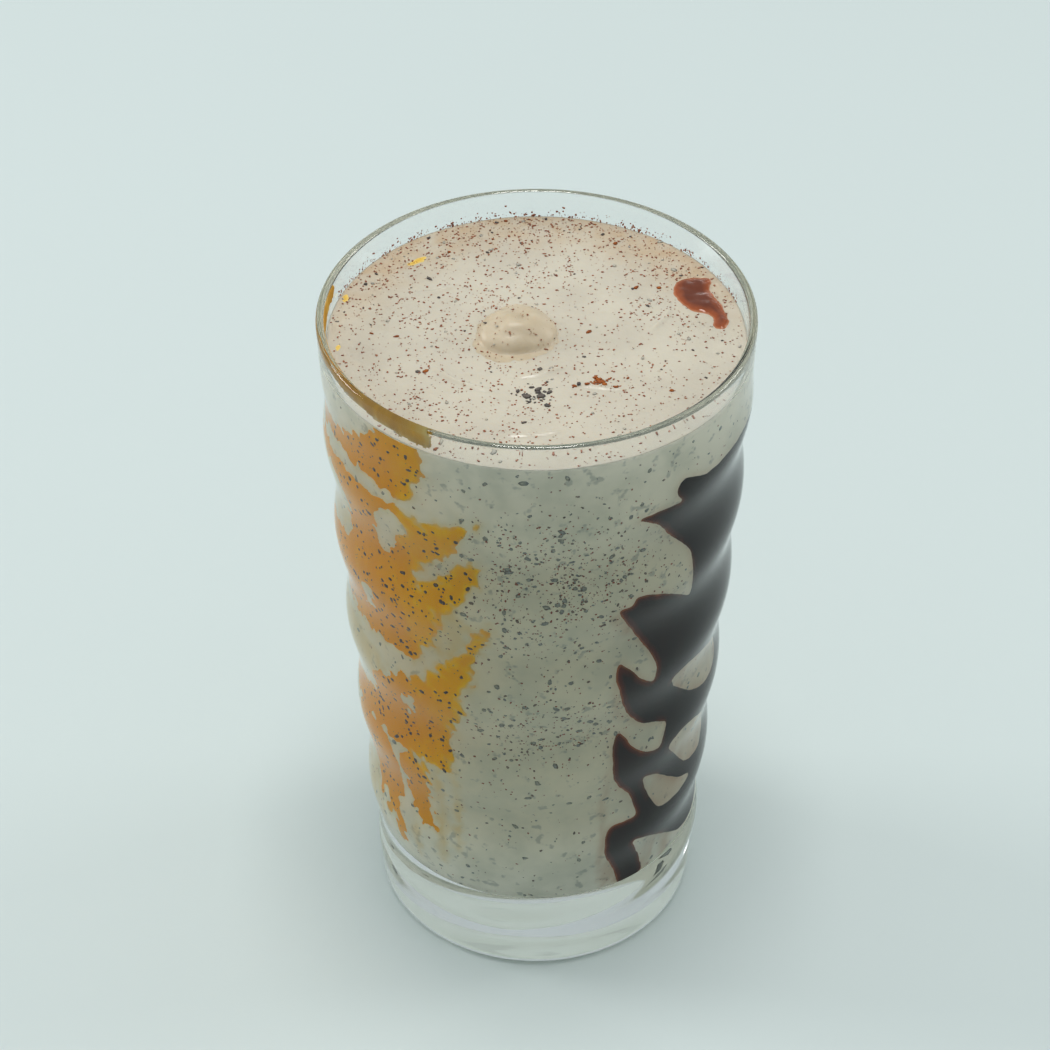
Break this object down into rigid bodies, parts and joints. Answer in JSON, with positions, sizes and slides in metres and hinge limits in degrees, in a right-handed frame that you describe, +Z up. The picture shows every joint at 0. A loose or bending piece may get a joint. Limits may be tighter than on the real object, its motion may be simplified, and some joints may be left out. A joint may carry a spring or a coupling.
{
  "type": "milkshake in a tumbler",
  "caption": "Speckled milkshake in a spiral-wave glass tumbler, with chocolate and mango sauce run down the inside of the glass and a small ice cream lump afloat on top.",
  "frame": {"origin": "on the table under the middle of the tumbler's foot", "axes": "+Z up through the middle of the glass; -Y is the front, with the mango sauce to its left (-X) and the chocolate sauce to its right (+X)"},
  "size_m": [0.08, 0.08, 0.141],
  "materials": {
    "tumbler_glass": "clear polished glass with a faint green-grey tint",
    "shake": "opaque cream-grey drink, moist soft sheen, fine specks",
    "ice_cream": "pale vanilla ice cream, melting and moist",
    "chocolate_sauce": "thick dark chocolate sauce, glossy, red-brown where thin",
    "mango_sauce": "thin yellow-orange mango sauce, translucent and glossy",
    "biscuit_specks": "fine dark biscuit and cocoa crumbs"
  },
  "bodies": {
    "root": {"glass": "tumbler_glass", "milkshake": "shake", "ice_cream_lump": "ice_cream"}
  },
  "joints": []
}
